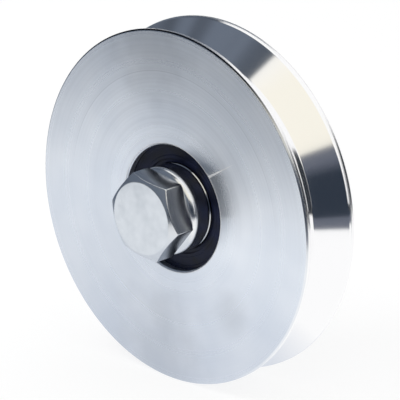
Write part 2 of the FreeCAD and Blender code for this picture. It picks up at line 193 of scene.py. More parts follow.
wheelFinish = {
    "plating": ("#e8ecf2", "#f6f8fb"),
    "platingPatches": 20.0,
    "feedPitch": 0.9,  # it was about 0.15 mm a turn: drawn six times coarser, so that it still shows
    "lineShade": (0.993, 0.962),  # low down, then high up: the darker lines high up are painted shade on the top of the face
    "bandWidth": 4.0,
    "groove": "#fbfbfc",
    "land": "#fdfdfe",
    # colour of the painted dark line on the rim chamfers
    "paintedChamferShade": "#33373e",
    # the painted highlights: near-white, only partly metallic, and rough
    "highlightWhite": "#ffffff",
    "highlightMetallic": 0.25,
    "highlightRoughness": 0.5,
    "grooveRoughness": 0.12,
    "satinRoughness": (0.265, 0.295),
    "feedRelief": 0.1,
    "grooveRelief": 0.03,
    "feedDepth": 0.003,
}


# Turned steel, bright zinc plated: the tool's spiral lines draw each highlight out across
# themselves, and the plating's blue passivation cools the grey.
def makeWheelSteel(s, marks, zones):
    material, tree, shader = startMaterial("turnedZincPlatedSteel", {
        "Anisotropic": 0.62,
        "Anisotropic Rotation": 0.25,
    })
    spot, radius, along, around = axleCoordinates(tree)
    height = addNode(tree, "ShaderNodeSeparateXYZ", inputs={0: spot}).outputs["Z"]
    distance = worked(tree, "ABSOLUTE", along)
    feed = noise(tree, radius, s["feedPitch"], 0.0, rings=True)
    bands = noise(tree, radius, s["bandWidth"], 0.0, rings=True)
    # patches of thicker plating
    patches = noise(tree, spot, s["platingPatches"], 2.0)
    tint = ramped(tree, patches, zip(noiseSpan, s["plating"]))
    # the turned lines are drawn darker over the upper half and nearly smooth over the lower one: the lines
    # are real, the darker top is painted shade
    low, high = marks["topShadeHeights"]
    topShade = ranged(tree, height, low * mm, high * mm, curve="SMOOTHSTEP")
    shade = ranged(tree, feed, *noiseSpan, graded(tree, topShade, *s["lineShade"]), 1.0)

    # circles where the tool was lifted, shown only under the painted shade at the top, and patches of painted
    # shade that darken the face
    half = marks["circleHalfWidth"]
    for across, depth in marks["turnedCircles"]:
        line = between(tree, radius, (across - half) * mm, (across + half) * mm)
        shade = graded(tree, both(tree, line, topShade), shade, 1 - depth)
    ragged = noise(tree, spot, marks["shadePatchRagged"], 3.0)
    inner, outer = marks["shadeFade"]
    for (x, z), size, depth in marks["shadePatches"]:
        reach = vectorWorked(tree, "DISTANCE", spot, (x * mm, marks["face"] * mm, z * mm))
        uneven = worked(tree, "MULTIPLY_ADD", ragged, marks["shadeUneven"] * size * mm, reach)
        fade = ranged(tree, uneven, inner * size * mm, outer * size * mm, 1 - depth, 1.0, "SMOOTHSTEP")
        shade = both(tree, shade, fade)
    colour = addNode(tree, "ShaderNodeMix", {"data_type": "RGBA", "blend_type": "MULTIPLY"}, {
        0: 1.0, 6: tint, 7: shade}).outputs[2]

    # the groove's walls were finished with a fine cut, so they mirror more than the faces
    groove = zone(tree, radius, distance, zones["groove"])
    colour = tinted(tree, groove, colour, linearColour(s["groove"]))
    # the lands are rolled bright by the rail
    colour = tinted(tree, zone(tree, radius, distance, zones["land"]), colour, linearColour(s["land"]))
    # the outer part of each rim chamfer is painted with a dark line at the top, fading out towards the sides:
    # a painted dark reflection
    total = worked(tree, "ADD", radius, distance)
    difference = worked(tree, "SUBTRACT", radius, distance)
    low, high = zones["chamferShadeHeights"]
    paintedChamferShade = ranged(tree, height, low * mm, high * mm, curve="SMOOTHSTEP")
    chamferShadeMask = both(tree, zone(tree, total, difference, zones["chamfer"]), paintedChamferShade)
    colour = tinted(tree, chamferShadeMask, colour, linearColour(s["paintedChamferShade"]))

    # a thin streak runs out from the hole, thinner as it goes: a painted highlight, near-white and only
    # partly metallic so that it stays bright
    turn = math.radians(marks["glintTurn"])
    x, z = marks["glintStart"]
    length, width = marks["glintLength"] * mm, marks["glintWidth"] * mm
    offset = vectorWorked(tree, "SUBTRACT", spot, (x * mm, 0, z * mm))
    outwards = vectorWorked(tree, "DOT_PRODUCT", offset, (math.cos(turn), 0, math.sin(turn)))
    aside = vectorWorked(tree, "DOT_PRODUCT", offset, (-math.sin(turn), 0, math.cos(turn)))
    thinning = ranged(tree, outwards, 0.0, length, width / 2, 0.0)
    inside = worked(tree, "LESS_THAN", worked(tree, "ABSOLUTE", aside), thinning)
    start, end = marks["glintAlong"]
    glintStreak = both(tree, both(tree, inside, between(tree, outwards, 0.0, length)),
                   between(tree, along, start * mm, end * mm))
    colour = tinted(tree, glintStreak, colour, linearColour(s["highlightWhite"]))
    # a fine line round the edge of the hole is painted near-white: a painted highlight
    edge = zone(tree, radius, along, zones["holeEdgeGlint"])
    colour = tinted(tree, edge, colour, linearColour(s["highlightWhite"]))
    # where the painted highlights lie, less metallic and rougher than the steel
    paintedHighlights = worked(tree, "MAXIMUM", glintStreak, edge)

    satin = ranged(tree, bands, *noiseSpan, *s["satinRoughness"])
    rough = graded(tree, groove, satin, s["grooveRoughness"])
    relief = graded(tree, groove, s["feedRelief"], s["grooveRelief"])
    wire(tree, shader, {
        "Base Color": colour,
        "Metallic": graded(tree, paintedHighlights, 1.0, s["highlightMetallic"]),
        "Roughness": graded(tree, paintedHighlights, rough, s["highlightRoughness"]),
        "Tangent": around,
        "Normal": bumped(tree, feed, relief, s["feedDepth"]),
    })
    return material


collarFinish = {
    # the collar's oil patches, which vary at random
    "oilAndShade": [(0.32, "#e6e8ea"), (0.68, "#f3f4f5")],
    "oilPatches": 5.0,
    "roughness": (0.16, 0.22),
    "feedPitch": 0.35,
    "feedRelief": 0.5,
    "feedDepth": 0.002,
}


# Bright-turned bar steel: a fine feed on a round part, so light runs along it in one clean band.
def makeCollarSteel(s):
    material, tree, shader = startMaterial("brightTurnedSteel", {
        "Metallic": 1.0,
        "Anisotropic": 0.4,
        "Anisotropic Rotation": 0.25,
    })
    spot, radius, along, around = axleCoordinates(tree)
    feed = noise(tree, worked(tree, "ADD", radius, along), s["feedPitch"], 2.0, rings=True)
    oilAndShade = noise(tree, spot, s["oilPatches"], 3.0)
    wire(tree, shader, {
        "Base Color": ramped(tree, oilAndShade, s["oilAndShade"]),
        "Roughness": ranged(tree, oilAndShade, *noiseSpan, *s["roughness"]),
        "Tangent": around,
        "Normal": bumped(tree, feed, s["feedRelief"], s["feedDepth"]),
    })
    return material


fastenerFinish = {
    "clouds": 4.0,
    "roughnessSpan": 0.08,
    "grain": 0.5,
    "grainRelief": 0.35,
    "grainDepth": 0.003,
    # colour of the painted shade on the flats that face the floor
    "oilAndShade": "#959aa1",
    "shadedFacing": ((-1.01, -0.3), (-0.3, 0.3)),  # limits of how far a flat faces up, and along the axle
}


# Cold-headed or pressed steel, zinc plated: smooth from the die, with soft clouds where the plating varies.
def makeFastenerSteel(s, name, plating, roughest):
    material, tree, shader = startMaterial(name, {"Metallic": 1.0})
    spot = objectPlace(tree)
    clouds = noise(tree, spot, s["clouds"], 4.0, 0.6)
    grain = noise(tree, spot, s["grain"], 2.0)
    tint = ramped(tree, clouds, zip(noiseSpan, plating))
    # the flats that face the floor are painted darker: a painted shade on the undersides of the head and nut
    normal = addNode(tree, "ShaderNodeNewGeometry").outputs["Normal"]
    facing = addNode(tree, "ShaderNodeSeparateXYZ", inputs={0: normal}).outputs
    up, ahead = s["shadedFacing"]
    paintedUnderShade = both(tree, between(tree, facing["Z"], *up), between(tree, facing["Y"], *ahead))
    wire(tree, shader, {
        "Base Color": tinted(tree, paintedUnderShade, tint, linearColour(s["oilAndShade"])),
        "Roughness": ranged(tree, clouds, *noiseSpan, roughest, roughest - s["roughnessSpan"]),
        "Normal": bumped(tree, grain, s["grainRelief"], s["grainDepth"]),
    })
    return material


bearingFinish = {
    "steel": [(0.0, "#c4c6c9"), (1.0, "#dbdde0")],
    "grindingLines": 0.25,
    "roughness": (0.08, 0.16),
    # colour of the painted shade on the inner ring's ends
    "recessShade": "#26272b",
    # the painted shade lies between these distances from the axle, and from the bearing's middle plane
    "paintedRecessShade": ((0.0, 12.3), (4.6, 6.1)),
    "unshadedLine": (5.68, 5.88),
    "middle": -1.2,
}


# Ground and superfinished chrome steel: nearly a mirror, with faint grinding lines round the axle.
def makeBearingSteel(s):
    material, tree, shader = startMaterial("groundBearingSteel", {"Metallic": 1.0})
    radius, along = axleCoordinates(tree)[1:3]
    lines = noise(tree, worked(tree, "ADD", radius, along), s["grindingLines"], 2.0, rings=True)
    # the inner ring's ends are painted dark, a painted shade in the recess between the collar and the seal,
    # all but a thin line left bright
    outer = worked(tree, "ABSOLUTE", worked(tree, "SUBTRACT", along, s["middle"] * mm))
    low, high = s["unshadedLine"]
    paintedRecessShade = graded(tree, between(tree, outer, low * mm, high * mm), zone(tree, radius, outer, s["paintedRecessShade"]), 0.0)
    wire(tree, shader, {
        "Base Color": tinted(tree, paintedRecessShade, ramped(tree, lines, s["steel"]), linearColour(s["recessShade"])),
        "Roughness": ranged(tree, lines, *noiseSpan, *s["roughness"]),
    })
    return material


# Pressed or stamped strip steel: an even satin all over.
def makeStripSteel(name, grain, detail, colours, roughness):
    material, tree, shader = startMaterial(name, {"Metallic": 1.0})
    surface = noise(tree, objectPlace(tree), grain, detail)
    wire(tree, shader, {
        "Base Color": ramped(tree, surface, zip((0.0, 1.0), colours)),
        "Roughness": ranged(tree, surface, *noiseSpan, *roughness),
    })
    return material


rubberFinish = {
    "bloom": [(0.35, "#0e1222"), (0.7, "#1f2644")],
    "bloomPatches": 6.0,
    "roughness": (0.36, 0.5),
    "skin": 0.4,
    "skinRelief": 0.4,
    "skinDepth": 0.01,
}


# Moulded nitrile rubber: a dull black with a cool sheen and a fine skin from the mould.
def makeSealRubber(s):
    material, tree, shader = startMaterial("mouldedNitrileRubber", {"IOR": 1.5, "Specular IOR Level": 0.22})
    spot = objectPlace(tree)
    skin = noise(tree, spot, s["skin"], 3.0)
    bloom = noise(tree, spot, s["bloomPatches"], 2.0)
    wire(tree, shader, {
        "Base Color": ramped(tree, bloom, s["bloom"]),
        "Roughness": ranged(tree, bloom, *noiseSpan, *s["roughness"]),
        "Normal": bumped(tree, skin, s["skinRelief"], s["skinDepth"]),
    })
    return material


finishes = {
    "wheel_steel": makeWheelSteel(wheelFinish, faceMarks, wheelZones),
    "collar_steel": makeCollarSteel(collarFinish),
    "bolt_steel": makeFastenerSteel(fastenerFinish, "zincPlatedHeadedSteel", ("#dee1e4", "#e6e8ea"), 0.27),
    "zinc_steel": makeFastenerSteel(fastenerFinish, "zincPlatedPressedSteel", ("#c2c7cc", "#dadee2"), 0.36),
    "bearing_steel": makeBearingSteel(bearingFinish),
    # low-carbon strip, tumbled after pressing
    "cage_steel": makeStripSteel("pressedStripSteel", 0.6, 3.0, ("#a3a5a6", "#c3c4c4"), (0.28, 0.42)),
    "seal_rubber": makeSealRubber(rubberFinish),
    # blackened in hot oil: dark grey, with a dull oily shine
    "spring_steel": makeStripSteel("oilBlackenedSpringSteel", 1.5, 4.0, ("#2b2b2e", "#55565a"), (0.3, 0.45)),
}
print("materials made:", len(finishes))


rounding = {
    "leastTurn": 0.02,  # radians: a straighter corner stays a point
    "reachShare": 0.45,  # the most of its shorter side that an arc takes
    "spareShare": 0.3,  # the most of what is left that lies between an arc and the point close by
    "arcStep": 16.0,  # degrees
}


def roundOutline(corners, support=0.06):
    # corners are (across, along, edge radius): each becomes an arc with a point close by on both sides
    points = []
    count = len(corners)
    for here in range(count):
        spot = Vector(corners[here][:2])
        back = Vector(corners[here - 1][:2]) - spot
        ahead = Vector(corners[(here + 1) % count][:2]) - spot
        size = corners[here][2]
        turn = math.pi - back.angle(ahead)
        if size <= 0 or turn < rounding["leastTurn"]:
            points.append(spot)
            continue
        room = min(back.length, ahead.length)
        reach = min(size * math.tan(turn / 2), rounding["reachShare"] * room)
        radius = reach / math.tan(turn / 2)
        spareBack = min(support, rounding["spareShare"] * (back.length - reach))
        spareAhead = min(support, rounding["spareShare"] * (ahead.length - reach))
        back.normalize()
        ahead.normalize()
        centre = spot + (back + ahead).normalized() * (radius / math.cos(turn / 2))
        side = 1 if -back.x * ahead.y + back.y * ahead.x > 0 else -1
        arm = spot + back * reach - centre
        steps = max(2, math.ceil(turn / math.radians(rounding["arcStep"])))
        points.append(spot + back * (reach + spareBack))
        for step in range(steps + 1):
            angle = side * turn * step / steps
            points.append(centre + Matrix.Rotation(angle, 2) @ arm)
        points.append(spot + ahead * (reach + spareAhead))
    return points


weldDistance = 1e-7  # metres: points this close become one
seamDistance = 1e-6  # metres: where a turned piece closes on itself


def finishMesh(mesh, sharpAngle=34):
    shell = bmesh.new()
    shell.from_mesh(mesh)
    bmesh.ops.remove_doubles(shell, verts=shell.verts, dist=weldDistance)
    bmesh.ops.dissolve_degenerate(shell, edges=shell.edges, dist=weldDistance)
    bmesh.ops.recalc_face_normals(shell, faces=shell.faces)
    shell.to_mesh(mesh)
    shell.free()
    mesh.shade_smooth()
    mesh.set_sharp_from_angle(angle=math.radians(sharpAngle))


def addPiece(name, mesh, body, slot, replaced):
    item = bpy.data.objects.get(name) or bpy.data.objects.new(name, mesh)
    if name not in bpy.context.scene.objects:
        bpy.context.scene.collection.objects.link(item)
    mesh.materials.clear()
    mesh.materials.append(finishes[slot])
    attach(item, body)
    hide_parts(*replaced)


def makeTurningTree():
    # winds an outline's points about Y, and lets the points marked as thread fall back one pitch a
    # turn, as on a right-hand screw
    tree = bpy.data.node_groups.new("turnAboutAxle", "GeometryNodeTree")
    panel = tree.interface
    sockets = {}
    for name, kind, value in (
        ("Outline", "NodeSocketGeometry", None),
        ("Segments", "NodeSocketInt", 96),
        ("Thread Pitch", "NodeSocketFloat", 0.0),
        ("Thread Start", "NodeSocketFloat", 0.0),
        ("Thread End", "NodeSocketFloat", 0.0),
        ("Thread Runout", "NodeSocketFloat", 0.001),
        ("Shank Radius", "NodeSocketFloat", 0.0),
        ("Tip Radius", "NodeSocketFloat", 0.0),
        ("Finish", "NodeSocketMaterial", None),
    ):
        socket = panel.new_socket(name, in_out="INPUT", socket_type=kind)
        if value is not None:
            socket.default_value = value
        sockets[name] = socket.identifier
    panel.new_socket("Piece", in_out="OUTPUT", socket_type="NodeSocketGeometry")
    entry = addNode(tree, "NodeGroupInput").outputs
    size = addNode(tree, "GeometryNodeAttributeDomainSize", inputs={0: entry["Outline"]})
    count = size.outputs["Point Count"]
    rows = worked(tree, "ADD", count, 1.0)
    columns = worked(tree, "ADD", entry["Segments"], 1.0)
    grid = addNode(tree, "GeometryNodeMeshGrid", inputs={"Vertices X": rows, "Vertices Y": columns})

    # each row of the grid follows one point of the outline, and its last row the first point again
    index = addNode(tree, "GeometryNodeInputIndex").outputs[0]
    row = worked(tree, "FLOOR", worked(tree, "DIVIDE", index, columns))
    spot = addNode(tree, "GeometryNodeSampleIndex", {"data_type": "FLOAT_VECTOR", "domain": "POINT"}, {
        "Geometry": entry["Outline"], "Index": worked(tree, "MODULO", row, count)})
    place = addNode(tree, "GeometryNodeInputPosition").outputs[0]
    tree.links.new(place, next(socket for socket in spot.inputs if socket.name == "Value" and socket.enabled))
    sampled = next(socket for socket in spot.outputs if socket.enabled)
    drawn = addNode(tree, "ShaderNodeSeparateXYZ", inputs={0: sampled}).outputs
    turn = worked(tree, "DIVIDE", worked(tree, "MODULO", index, columns), entry["Segments"])

    # the thread winds back along the axle, and stays between its two ends
    wind = worked(tree, "SUBTRACT", drawn["Y"], worked(tree, "MULTIPLY", turn, entry["Thread Pitch"]))
    held = addNode(tree, "ShaderNodeClamp", inputs={
        "Value": wind, "Min": entry["Thread Start"], "Max": entry["Thread End"]}).outputs[0]
    along = graded(tree, drawn["Z"], drawn["Y"], held)
    # it is turned down to the cone of the tip, and runs out into the shank
    cone = worked(tree, "ADD", worked(tree, "SUBTRACT", entry["Thread End"], held), entry["Tip Radius"])
    cut = worked(tree, "MINIMUM", drawn["X"], cone)
    cutIn = worked(tree, "ADD", entry["Thread Start"], entry["Thread Runout"])
    fade = ranged(tree, held, entry["Thread Start"], cutIn, curve="SMOOTHSTEP")
    across = graded(tree, drawn["Z"], drawn["X"], graded(tree, fade, entry["Shank Radius"], cut))

    angle = worked(tree, "MULTIPLY", turn, 2 * math.pi)
    target = addNode(tree, "ShaderNodeCombineXYZ", inputs={
        "X": both(tree, worked(tree, "COSINE", angle), across),
        "Y": along,
        "Z": both(tree, worked(tree, "SINE", angle), across),
    })
    moved = addNode(tree, "GeometryNodeSetPosition", inputs={
        "Geometry": grid.outputs["Mesh"], "Position": target.outputs[0]})
    closed = addNode(tree, "GeometryNodeMergeByDistance", inputs={
        "Geometry": moved.outputs[0], "Distance": seamDistance})
    real = addNode(tree, "GeometryNodeRealizeInstances", inputs={"Geometry": closed.outputs[0]})
    painted = addNode(tree, "GeometryNodeSetMaterial", inputs={
        "Geometry": real.outputs[0], "Material": entry["Finish"]})
    addNode(tree, "NodeGroupOutput", inputs={0: painted.outputs[0]})
    return tree, sockets


turningTree, turningSockets = makeTurningTree()


def turnPiece(name, outline, slot, values):
    # outline is (radius, along) in millimetres, and a third number is 1 where the point is thread
    line = bpy.data.meshes.new(name)
    line.from_pydata([(p[0] * mm, p[1] * mm, p[2] if len(p) > 2 else 0.0) for p in outline], [], [])
    item = bpy.data.objects.new(name, line)
    bpy.context.scene.collection.objects.link(item)
    turning = item.modifiers.new("turnAboutAxle", "NODES")
    turning.node_group = turningTree
    for key, value in {**values, "Finish": finishes[slot]}.items():
        turning[turningSockets[key]] = value
    evaluated = item.evaluated_get(bpy.context.evaluated_depsgraph_get())
    mesh = bpy.data.meshes.new_from_object(evaluated)
    mesh.name = name
    item.modifiers.remove(turning)
    item.data = mesh
    bpy.data.meshes.remove(line)
    finishMesh(mesh)
    return mesh


wheelSizes = {
    "rimRadius": 50.0,
    "halfWidth": 9.5,
    "grooveRootRadius": 42.8,
    "grooveRootHalf": 0.8,
    "landWidth": 1.5,
    "landBreak": 0.35,
    "rimChamfer": 0.45,
    "lipHoleRadius": 17.85,
    "lipChamfer": 0.4,
    "lipThickness": 2.3,
    "seatRadius": 20.0,
    "mouthChamfer": 0.8,
    "snapGrooveRadius": 21.25,
    "snapGrooveFront": 4.8,
    "snapGrooveRear": 6.65,
    "lipEdge": 0.08,
    "rimEdge": 0.15,
    "landEdge": 0.2,
    "grooveRootEdge": 0.4,
    "mouthEdge": 0.1,
    "fineEdge": 0.05,
    "segments": 288,
}


def makeWheel(s):
    rim, half = s["rimRadius"], s["halfWidth"]
    mouth = half - s["landWidth"]
    ease = s["landBreak"]
    lip = s["lipHoleRadius"]
    seat = s["seatRadius"]
    stop = s["lipThickness"] - half
    fine = s["fineEdge"]
    outline = roundOutline([
        (lip + s["lipChamfer"], -half, s["lipEdge"]),
        (rim - s["rimChamfer"], -half, s["rimEdge"]),
        (rim, -half + s["rimChamfer"], s["rimEdge"]),
        (rim, -mouth - ease, s["landEdge"]),
        (rim - ease, -mouth + ease, s["landEdge"]),
        (s["grooveRootRadius"], -s["grooveRootHalf"], s["grooveRootEdge"]),
        (s["grooveRootRadius"], s["grooveRootHalf"], s["grooveRootEdge"]),
        (rim - ease, mouth - ease, s["landEdge"]),
        (rim, mouth + ease, s["landEdge"]),
        (rim, half - s["rimChamfer"], s["rimEdge"]),
        (rim - s["rimChamfer"], half, s["rimEdge"]),
        (seat + s["mouthChamfer"], half, s["mouthEdge"]),
        (seat, half - s["mouthChamfer"], s["mouthEdge"]),
        (seat, s["snapGrooveRear"], fine),
        (s["snapGrooveRadius"], s["snapGrooveRear"], fine),
        (s["snapGrooveRadius"], s["snapGrooveFront"], fine),
        (seat, s["snapGrooveFront"], fine),
        (seat, stop, fine),
        (lip, stop, fine),
        (lip, -half + s["lipChamfer"], s["lipEdge"]),
    ])
    mesh = turnPiece("wheelRing", outline, "wheel_steel", {"Segments": s["segments"]})
    addPiece("wheelRing", mesh, "wheel", "wheel_steel", ["wheel"])


makeWheel(wheelSizes)
print("wheel turned")


collarSizes = {
    "boreRadius": 7.2,
    "radius": 12.4,
    "edgeRadius": 2.0,
    "seatRadius": 11.7,
    "seatLength": 0.8,
    "spigotRadius": 8.5,
    "spigotLength": 5.5,
    "spigotChamfer": 0.3,
    "boreEdge": 0.15,
    "shoulderEdge": 0.12,
    "seatEdge": 0.08,
    "fineEdge": 0.05,
    "segments": 160,
}


def makeCollar(name, node, outerFace, seatFace, s):
    out = -1 if outerFace < seatFace else 1
    tip = seatFace - out * s["spigotLength"]
    shoulder = seatFace + out * s["seatLength"]
    fine = s["fineEdge"]
    outline = roundOutline([
        (s["boreRadius"], outerFace, s["boreEdge"]),
        (s["radius"], outerFace, s["edgeRadius"]),
        (s["radius"], shoulder, s["shoulderEdge"]),
        (s["seatRadius"], shoulder, fine),
        (s["seatRadius"], seatFace, s["seatEdge"]),
        (s["spigotRadius"], seatFace, fine),
        (s["spigotRadius"], tip + out * s["spigotChamfer"], fine),
        (s["spigotRadius"] - s["spigotChamfer"], tip, fine),
        (s["boreRadius"], tip, fine),
    ])
    mesh = turnPiece(name, outline, "collar_steel", {"Segments": s["segments"]})
    addPiece(name, mesh, "axle", "collar_steel", [node])


makeCollar("frontCollar", "front_collar", -14.1, -7.2, collarSizes)
makeCollar("rearCollar", "rear_collar", 14.1, 4.8, collarSizes)

sealSizes = {
    "lipRadius": 12.35,
    "stepRadius": 13.4,
    "stepDepth": 0.6,
    "recess": 0.15,
    "troughInner": 14.3,
    "troughOuter": 16.9,
    "troughDepth": 0.14,
    "seatRadius": 18.0,
    "beadRadius": 18.3,
    "beadStart": 0.5,
    "depth": 1.4,
    "backRadius": 16.7,
    "lipTaper": 0.25,
    "troughSlope": 0.2,
    "lipEdge": 0.08,
    "softEdge": 0.1,
    "topEdge": 0.12,
    "fineEdge": 0.05,
    "segments": 160,
}


def makeSeal(name, node, face, inward, s):
    top = face + inward * s["recess"]
    trough = top + inward * s["troughDepth"]
    step = face + inward * s["stepDepth"]
    bead = face + inward * s["beadStart"]
    back = face + inward * s["depth"]
    outline = roundOutline([
        (s["lipRadius"], step, s["lipEdge"]),
        (s["stepRadius"], step, s["softEdge"]),
        (s["stepRadius"], top, s["topEdge"]),
        (s["troughInner"], top, s["topEdge"]),
        (s["troughInner"] + s["troughSlope"], trough, s["softEdge"]),
        (s["troughOuter"] - s["troughSlope"], trough, s["softEdge"]),
        (s["troughOuter"], top, s["topEdge"]),
        (s["seatRadius"], top, s["softEdge"]),
        (s["seatRadius"], bead, s["fineEdge"]),
        (s["beadRadius"], bead, s["softEdge"]),
        (s["beadRadius"], back, s["fineEdge"]),
        (s["backRadius"], back, s["fineEdge"]),
        (s["lipRadius"], face + inward * (s["depth"] - s["lipTaper"]), s["lipEdge"]),
    ])
    mesh = turnPiece(name, outline, "seal_rubber", {"Segments": s["segments"]})
    addPiece(name, mesh, "wheel", "seal_rubber", [node])


makeSeal("frontSeal", "seal_front", -7.2, 1, sealSizes)
makeSeal("rearSeal", "seal_rear", 4.8, -1, sealSizes)
print("collars and seals turned")


hexSizes = {
    "acrossFlats": 22.0,
    "cornerRound": 0.45,
    "edgeRound": 0.14,
    "crownAngle": 32.0,
    "flatSteps": 12,
    "support": 0.12,
    # out from the crown's circle, and in from its face
    "crownEdge": [(-0.35, 0.0), (-0.1, 0.0), (0.02, 0.025)],
    "coneStart": 0.14,
}


def hexagonOutline(s, turn):
    # a rounded hexagon as (x, z) points, with its first corner at this angle
    corner = s["acrossFlats"] / 2 / math.cos(math.radians(30))
    corners = []
    for step in range(6):
        angle = math.radians(turn + 60 * step)
        corners.append((corner * math.cos(angle), corner * math.sin(angle), s["cornerRound"]))
    bent = roundOutline(corners, s["support"])
    each = len(bent) // 6
    points = []
    for step in range(6):
        side = bent[step * each:(step + 1) * each]
        points += side
        start, end = side[-1], bent[(step + 1) * each % len(bent)]
        points += [start.lerp(end, part / s["flatSteps"]) for part in range(1, s["flatSteps"])]
    return points


def ringRow(outline, across, along):
    # one row of points round the axle: across and along are numbers, or functions of the hexagon's radius
    row = []
    for point in outline:
        reach = point.length
        far, place = (size(reach) if callable(size) else size for size in (across, along))
        row.append((point.x / reach * far * mm, place * mm, point.y / reach * far * mm))
    return row


def stackRows(name, rows, endless):
    # joins each row to the next, and the last to the first where the stack is endless
    count = len(rows[0])
    mesh = bpy.data.meshes.new(name)
    points = [point for row in rows for point in row]
    faces = []
    for here in range(len(rows) if endless else len(rows) - 1):
        row, after = here * count, (here + 1) % len(rows) * count
        for step in range(count):
            ahead = (step + 1) % count
            faces.append((row + step, row + ahead, after + ahead, after + step))
    mesh.from_pydata(points, [], faces)
    finishMesh(mesh, 30)
    return mesh


def crownRows(outline, s, crown, face, inward):
    # from the flat crown over the turned cone and its bevelled edge on to the flats
    slope = math.tan(math.radians(s["crownAngle"]))
    edge = s["edgeRound"]

    def cone(radius):
        return face + inward * max(0.0, radius - crown) * slope

    return [
        *(ringRow(outline, crown + out, face + inward * sunk) for out, sunk in s["crownEdge"]),
        ringRow(outline, crown + s["coneStart"], cone(crown + s["coneStart"])),
        ringRow(outline, lambda reach: reach - 2 * edge, lambda reach: cone(reach - 2 * edge)),
        ringRow(outline, lambda reach: reach - edge, lambda reach: cone(reach - edge)),
        ringRow(outline, lambda reach: reach - 0.3 * edge, lambda reach: cone(reach) + inward * 0.12 * edge),
        ringRow(outline, lambda reach: reach, lambda reach: cone(reach) + inward * 0.8 * edge),
        ringRow(outline, lambda reach: reach, lambda reach: cone(reach) + inward * 2 * edge),
    ]


boltSizes = {
    "headFront": -21.6,
    "headRear": -14.1,
    "headCrown": 10.3,
    "headTurn": 50.7,
    "shankRadius": 7.0,
    "threadPitch": 2.0,
    "threadStart": 25.9,
    "threadDepth": 1.2,
    "end": 45.9,
    "tipRadius": 5.8,
    "crestDrop": 0.03,
    "browDrop": 0.12,
    "rootRise": 0.14,
    "runoutTurns": 1.5,
    "sunkInHead": 0.3,
    # in from the flats, and ahead of the head's rear face
    "rearEdge": [(0.0, 0.3), (0.05, 0.08), (0.2, 0.0), (0.5, 0.0)],
    "segments": 96,
}


def makeBolt(s, h):
    outline = hexagonOutline(h, s["headTurn"])
    front, rear = s["headFront"], s["headRear"]
    rows = [ringRow(outline, 0.0, front)]
    rows += crownRows(outline, h, s["headCrown"], front, 1)
    for inset, ahead in s["rearEdge"]:
        rows.append(ringRow(outline, lambda reach: reach - inset, rear - ahead))
    rows.append(ringRow(outline, 0.0, rear))
    head = stackRows("boltHead", rows, False)
    # one pitch of the thread as (place, radius): crest, flank, rounded root, flank
    shank, pitch, start, end = s["shankRadius"], s["threadPitch"], s["threadStart"], s["end"]
    root = shank - s["threadDepth"]
    crest, brow, foot = shank - s["crestDrop"], shank - s["browDrop"], root + s["rootRise"]
    tooth = [(0.0, crest), (0.26, crest), (0.34, brow), (0.9, foot),
             (1.02, root), (1.2, root), (1.32, foot), (1.92, brow)]
    sunk = rear - s["sunkInHead"]
    line = [(0.0, sunk, 0), (shank, sunk, 0), (shank, rear, 0), (shank, start - 0.1, 0), (shank, start, 0)]
    turns = math.ceil((end - start) / pitch) + 1
    for turn in range(turns + 1):
        line += [(radius, start + turn * pitch + place, 1.0) for place, radius in tooth]
    line += [(s["tipRadius"], end, 0), (s["tipRadius"] - 0.1, end, 0), (0.0, end, 0)]
    mesh = turnPiece("axleBolt", line, "bolt_steel", {
        "Segments": s["segments"],
        "Thread Pitch": pitch * mm,
        "Thread Start": start * mm,
        "Thread End": end * mm,
        "Thread Runout": s["runoutTurns"] * pitch * mm,
        "Shank Radius": shank * mm,
        "Tip Radius": s["tipRadius"] * mm,
    })
    joined = bmesh.new()
    joined.from_mesh(mesh)
    joined.from_mesh(head)
    joined.to_mesh(mesh)
    joined.free()
    bpy.data.meshes.remove(head)
    addPiece("axleBolt", mesh, "axle", "bolt_steel", ["axle_bolt"])


nutSizes = {
    "front": 19.6,
    "rear": 30.6,
    "crown": 10.45,
    "bore": 7.02,
    "boreMouth": 7.7,
    "mouthBorder": 0.3,
    "turn": -14.0,
}


def makeNut(s, h):
    outline = hexagonOutline(h, s["turn"])
    front, rear, bore, wide = s["front"], s["rear"], s["bore"], s["boreMouth"]
    chamfer = wide - bore
    border = wide + s["mouthBorder"]
    rows = [
        ringRow(outline, border, front),
        *crownRows(outline, h, s["crown"], front, 1),
        *reversed(crownRows(outline, h, s["crown"], rear, -1)),
        ringRow(outline, border, rear),
        ringRow(outline, wide, rear),
        ringRow(outline, bore, rear - chamfer),
        ringRow(outline, bore, front + chamfer),
        ringRow(outline, wide, front),
    ]
    mesh = stackRows("hexNut", rows, True)
    addPiece("hexNut", mesh, "axle", "zinc_steel", ["hex_nut"])


makeBolt(boltSizes, hexSizes)
makeNut(nutSizes, hexSizes)
print("bolt threaded and nut made")

washerSizes = {
    "hole": 7.5,
    "radius": 14.0,
    "front": 14.1,
    "rear": 16.6,
    "bevel": 0.4,
    "holeFrontEdge": 0.2,
    "holeRearEdge": 0.1,
    "frontEdge": 0.15,
    "sideEdge": 0.2,
    "rearEdge": 0.3,
    "segments": 128,
}


def makeWasher(s):
    # punched from sheet, with its rear rim bevelled
    outline = roundOutline([
        (s["hole"], s["front"], s["holeFrontEdge"]),
        (s["radius"], s["front"], s["frontEdge"]),
        (s["radius"], s["rear"] - s["bevel"], s["sideEdge"]),
        (s["radius"] - s["bevel"], s["rear"], s["rearEdge"]),
        (s["hole"], s["rear"], s["holeRearEdge"]),
    ])
    mesh = turnPiece("flatWasher", outline, "zinc_steel", {"Segments": s["segments"]})
    addPiece("flatWasher", mesh, "axle", "zinc_steel", ["flat_washer"])


makeWasher(washerSizes)

springWasherSizes = {
    "hole": 7.1,
    "radius": 12.05,
    "front": 16.6,
    "rear": 19.6,
    "edge": 0.15,
    "slit": 1.2,
    "slant": 2.2,
    "steps": 128,
}


